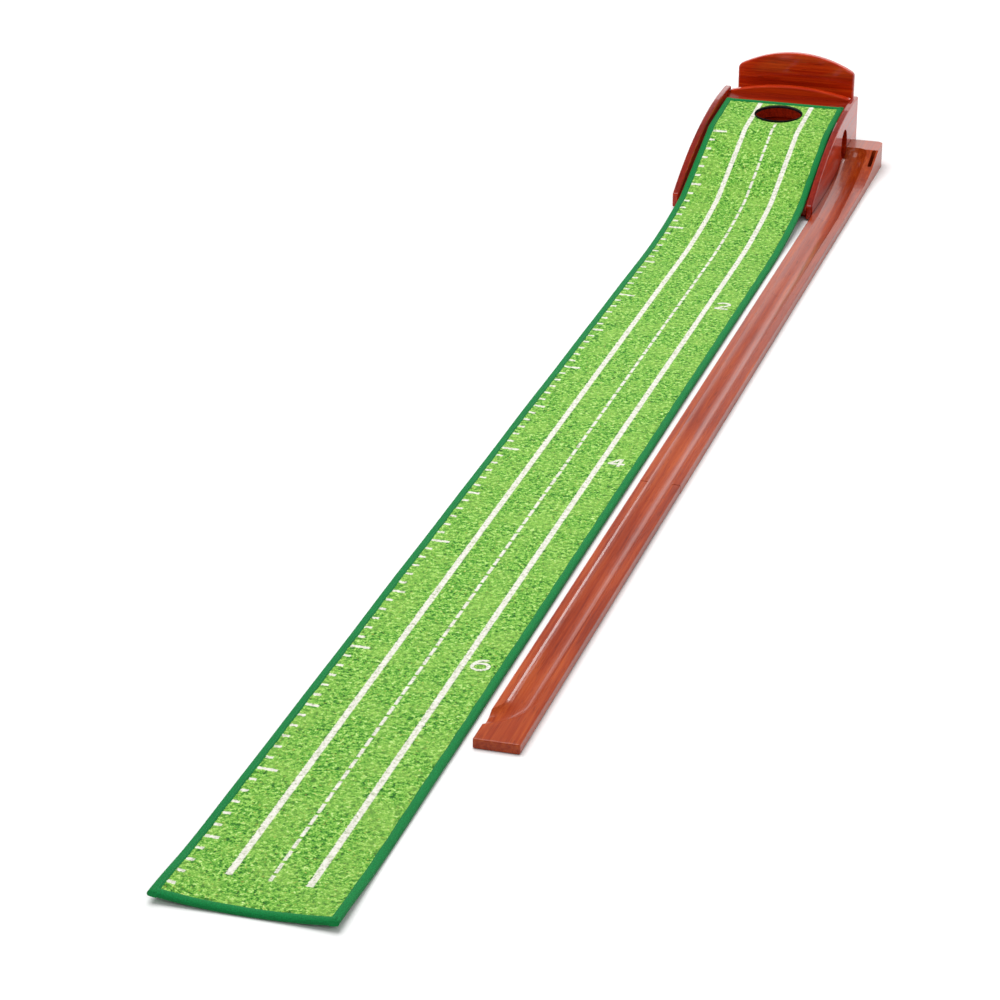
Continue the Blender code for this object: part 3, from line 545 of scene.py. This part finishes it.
def turf_grid(inset, step, height, rough=0.0):
    """Points, quads and flat places of a grid over the mat, with the cup hole cut out of it."""
    across = np.linspace(inset, MAT_WIDTH - inset, round((MAT_WIDTH - 2 * inset) / step) + 1)
    along = np.linspace(inset, FLAT_LENGTH - inset, round((FLAT_LENGTH - 2 * inset) / step) + 1)
    u, s = np.meshgrid(across, along)
    u, s = u.ravel(), s.ravel()
    if rough:
        inner = (u > across[0]) & (u < across[-1]) & (s > along[0]) & (s < along[-1])
        u = u + inner * rng.uniform(-JITTER, JITTER, u.shape) * step
        s = s + inner * rng.uniform(-JITTER, JITTER, s.shape) * step
    points = surface(u, s, height)
    away = points[:, :2] - np.array(HOLE)
    distance = np.hypot(away[:, 0], away[:, 1])
    snap = np.abs(distance - HOLE_RADIUS) < step * HOLE_SNAP
    scale = np.where(snap, HOLE_RADIUS / np.maximum(distance, 1e-6), 1.0)
    moved = away * scale[:, None] + np.array(HOLE)
    points[:, 2] += np.where(snap, (moved[:, 1] - points[:, 1]) * DECK_SLOPE, 0.0)
    points[:, :2] = moved
    if rough:
        points[:, 2] += np.where(snap, 0.0, rng.uniform(-rough, rough, len(points)))
    columns = len(across)
    index = np.arange(len(points)).reshape(-1, columns)
    quads = np.stack([index[:-1, :-1], index[:-1, 1:], index[1:, 1:], index[1:, :-1]], -1).reshape(-1, 4)
    middle = points[quads][:, :, :2].mean(1) - np.array(HOLE)
    quads = quads[np.hypot(middle[:, 0], middle[:, 1]) > HOLE_RADIUS]
    flat = np.stack([points[:, 0] - MAT_X, s, np.zeros_like(s)], -1)
    used = np.unique(quads)
    renumber = np.zeros(len(points), int)
    renumber[used] = np.arange(len(used))
    return points[used], renumber[quads], flat[used]


pile_points, pile_quads, pile_flat = turf_grid(BAND - 0.0012, PILE_STEP, THICK - 0.0003, PILE_ROUGH)
pile = new_mesh("turf_pile", pile_points, pile_quads, turf_material(), pile_flat)
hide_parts("turf")
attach(pile, "runner")

back_points, back_quads, back_flat = turf_grid(0.0018, BACKING_STEP, THICK - 0.0012)
backing = new_mesh("turf_backing", back_points, back_quads, backing_material(), back_flat)
thicken = backing.modifiers.new("thickness", "SOLIDIFY")
thicken.thickness = BACKING_THICK
thicken.offset = -1.0
bpy.context.view_layer.objects.active = backing
depsgraph = bpy.context.evaluated_depsgraph_get()
thick_mesh = bpy.data.meshes.new_from_object(backing.evaluated_get(depsgraph))
backing.modifiers.clear()
backing.data = thick_mesh
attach(backing, "runner")

# The binding's section: distance in from the outer edge, and height above the underside
TAPE = [
    (0.0002, 0.0014), (0.0011, 0.0003), (0.0030, 0.0001), (BAND - 0.0004, 0.0002),
    (BAND, 0.0008), (BAND + 0.0002, 0.0046), (BAND - 0.0006, 0.0055), (BAND - 0.0030, 0.0059),
    (0.0048, 0.0060), (0.0021, 0.0056), (0.0007, 0.0046), (0.0001, 0.0030),
]


def tape_run(name, node, places, inward, lift=0.0):
    """The folded tape along one side: places are (u, s) along the outer edge, inward the way in."""
    places = np.asarray(places, float)
    travelled = np.concatenate([[0.0], np.cumsum(np.hypot(*np.diff(places, axis=0).T))])
    rings, flats = [], []
    around = np.concatenate([[0.0], np.cumsum(np.hypot(*np.diff(np.array(TAPE), axis=0).T))])
    for (across, height), turn in zip(TAPE, around):
        wave = 0.00025 * np.sin(travelled * 95.0) * (across / BAND)
        u = places[:, 0] + inward[0] * (across + wave)
        s = places[:, 1] + inward[1] * (across + wave)
        rings.append(surface(u, s, height * (1.0 + lift)))
        flats.append(np.stack([np.full_like(travelled, turn), travelled, np.zeros_like(travelled)], -1))
    sides, count = len(TAPE), len(places)
    points = np.stack(rings, 1).reshape(-1, 3)
    flat = np.stack(flats, 1).reshape(-1, 3)
    faces = []
    for i in range(count - 1):
        for j in range(sides):
            k = (j + 1) % sides
            faces.append((i * sides + j, i * sides + k, (i + 1) * sides + k, (i + 1) * sides + j))
    obj = new_mesh(name, points, faces, tape_green, flat)
    bm = bmesh.new()
    bm.from_mesh(obj.data)
    bm.verts.ensure_lookup_table()
    for first in (0, (count - 1) * sides):
        bm.faces.new([bm.verts[first + j] for j in range(sides)])
    bmesh.ops.recalc_face_normals(bm, faces=bm.faces)
    bm.to_mesh(obj.data)
    bm.free()
    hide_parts(node)
    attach(obj, "runner")
    return obj


def stitches(name, places, away):
    """A row of thread stitches near the tape's inner edge."""
    places = np.asarray(places, float)
    travelled = np.concatenate([[0.0], np.cumsum(np.hypot(*np.diff(places, axis=0).T))])
    pitch, long = 0.0048, 0.0036
    starts = np.arange(0.004, travelled[-1] - 0.006, pitch)
    points, faces = [], []
    section = [(math.cos(math.radians(a)), math.sin(math.radians(a))) for a in range(0, 360, 60)]
    for start in starts:
        base = len(points)
        for step, size in ((0.0, 0.25), (0.2, 0.9), (0.5, 1.0), (0.8, 0.9), (1.0, 0.25)):
            at = start + long * step
            u = np.interp(at, travelled, places[:, 0]) + away[0] * (BAND - 0.0022)
            s = np.interp(at, travelled, places[:, 1]) + away[1] * (BAND - 0.0022)
            for c, h in section:
                side = 0.00028 * size * c
                points.append((u + away[0] * side, s + away[1] * side, 0.00575 + 0.00022 * size * h))
        for ring in range(4):
            for j in range(6):
                k = (j + 1) % 6
                a, b = base + ring * 6, base + (ring + 1) * 6
                faces.append((a + j, a + k, b + k, b + j))
    points = np.array(points)
    obj = new_mesh(name, surface(points[:, 0], points[:, 1], points[:, 2]), faces, thread_green)
    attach(obj, "runner")
    return obj


tape_green = binding_material()
thread_green = thread_material()
stations = np.linspace(0.0, FLAT_LENGTH, 560)
crossing = np.linspace(BAND * 0.35, MAT_WIDTH - BAND * 0.35, 44)
left_edge = np.stack([np.zeros_like(stations), stations], -1)
right_edge = np.stack([np.full_like(stations, MAT_WIDTH), stations], -1)
near_edge = np.stack([crossing, np.zeros_like(crossing)], -1)
far_edge = np.stack([crossing, np.full_like(crossing, FLAT_LENGTH)], -1)
tapes = [
    tape_run("binding_tape_left", "binding_left", left_edge, (1, 0)),
    tape_run("binding_tape_right", "binding_right", right_edge, (-1, 0)),
    tape_run("binding_tape_near", "binding_near", near_edge, (0, 1), 0.05),
    tape_run("binding_tape_far", "binding_far", far_edge, (0, -1), 0.05),
    stitches("stitching_left", left_edge, (1, 0)),
    stitches("stitching_right", right_edge, (-1, 0)),
    stitches("stitching_near", near_edge, (0, 1)),
    stitches("stitching_far", far_edge, (0, -1)),
]


# Foot numerals, drawn as strokes: millimetres from the numeral's middle
def curve_points(centre, radii, start, end, steps=20):
    """Points along a part of an ellipse, angles in degrees."""
    angles = [math.radians(start + (end - start) * i / steps) for i in range(steps + 1)]
    return [(centre[0] + radii[0] * math.cos(a), centre[1] + radii[1] * math.sin(a)) for a in angles]


NUMERALS = {
    "2": [curve_points((0, 6.0), (8.5, 6.5), 165, -25) + [(-9.0, -11.0)], [(-10.0, -11.5), (10.0, -11.5)]],
    "4": [[(3.5, 12.0), (3.5, -12.5)], [(2.5, 12.0), (-10.5, -4.5), (10.5, -4.5)]],
    "6": [curve_points((0, -3.5), (9.5, 8.5), 0, 360, 36),
          curve_points((1.5, -3.0), (11.0, 15.5), 180, 68, 16)],
}


def numeral(digit, u, s):
    """A printed numeral that lies on the pile and reads from the near end."""
    points, faces = [], []
    for stroke in NUMERALS[digit]:
        line = np.array(stroke) / 1000.0
        length = np.concatenate([[0.0], np.cumsum(np.hypot(*np.diff(line, axis=0).T))])
        steps = np.linspace(0.0, length[-1], max(int(length[-1] / 0.0008), 6))
        line = np.stack([np.interp(steps, length, line[:, i]) for i in (0, 1)], -1)
        tangent = np.gradient(line, axis=0)
        tangent /= np.maximum(np.hypot(*tangent.T)[:, None], 1e-9)
        normal = np.stack([-tangent[:, 1], tangent[:, 0]], -1)
        base = len(points)
        for place, out in zip(line, normal):
            for shift in (-1.0, -0.5, 0.0, 0.5, 1.0):
                reach = NUMERAL_HALF * shift * (1.0 + 0.10 * rng.uniform(-1, 1))
                points.append((u + place[0] + out[0] * reach, s + place[1] + out[1] * reach))
        for i in range(len(line) - 1):
            for j in range(4):
                a = base + i * 5 + j
                faces.append((a, a + 1, a + 6, a + 5))
    points = np.array(points)
    height = THICK + 0.00012 + rng.uniform(-0.00015, 0.00015, len(points))
    obj = new_mesh("foot_mark_" + digit, surface(points[:, 0], points[:, 1], height), faces, white_print)
    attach(obj, "runner")
    return obj


white_print = mark_material()
marks = [numeral(digit, NUMERAL_U, ZERO_MARK - int(digit) * FOOT - NUMERAL_BACK) for digit in NUMERALS]


# ---------------------------------------------------------------- floor, light and camera

def floor_material():
    """Plain pale floor."""
    sh = Shader("pale_floor")
    cloud = sh.noise(sh.place(), 1.2, 2.0)
    pale = sh.ramp(cloud, (0.3, (0.86, 0.86, 0.86, 1)), (0.7, (0.88, 0.88, 0.88, 1)))
    sh.set(Base_Color=pale, Roughness=0.7)
    return sh.material


FLOOR_REACH = 14.0
FLOOR_Z = -0.0004
floor_corners = [(x * FLOOR_REACH, y * FLOOR_REACH, FLOOR_Z)
                 for x, y in ((-1, -1), (1, -1), (1, 1), (-1, 1))]
floor = new_mesh("floor", floor_corners, [(0, 1, 2, 3)], floor_material(), smooth=False)

bpy.context.scene.view_settings.view_transform = "Standard"
world = bpy.data.worlds.new("studio")
bpy.context.scene.world = world
world.use_nodes = True
background = world.node_tree.nodes["Background"]
background.inputs["Color"].default_value = (1.0, 1.0, 1.0, 1.0)
background.inputs["Strength"].default_value = 0.38


def soft_light(name, place, target, size, power):
    """A rectangular studio light that faces its target."""
    light = bpy.data.lights.new(name, "AREA")
    light.shape = "RECTANGLE"
    light.size, light.size_y = size
    light.energy = power
    obj = bpy.data.objects.new(name, light)
    bpy.context.scene.collection.objects.link(obj)
    obj.location = place
    obj.rotation_euler = (Vector(target) - Vector(place)).to_track_quat("-Z", "Y").to_euler()


soft_light("key", (-1.0, 0.2, 4.2), (0.0, 0.1, 0.0), (3.6, 3.6), 205.0)
soft_light("front", (2.2, -4.2, 3.4), (0.0, 0.3, 0.0), (2.5, 2.5), 40.0)
soft_light("backdrop", (0.2, 4.8, 0.95), (0.0, 0.2, 0.4), (7.0, 1.5), 55.0)
soft_light("rim", (2.7, 4.3, 2.0), (0.0, 0.9, 0.1), (1.3, 1.0), 42.0)

CAMERA_PLACE = (0.9757, -3.8360, 1.6284)
CAMERA_RIGHT = (0.9588, 0.2840, 0.0027)
CAMERA_BACK = (0.25899, -0.87818, 0.40215)

camera_data = bpy.data.cameras.new("camera")
camera_data.sensor_width = 36.0
camera_data.lens = 116.34
camera = bpy.data.objects.new("camera", camera_data)
bpy.context.scene.collection.objects.link(camera)
right = Vector(CAMERA_RIGHT).normalized()
back = Vector(CAMERA_BACK).normalized()
up = back.cross(right).normalized()
right = up.cross(back).normalized()
camera_turn = Matrix((right, up, back)).transposed().to_4x4()
camera.matrix_world = Matrix.Translation(CAMERA_PLACE) @ camera_turn
bpy.context.scene.camera = camera
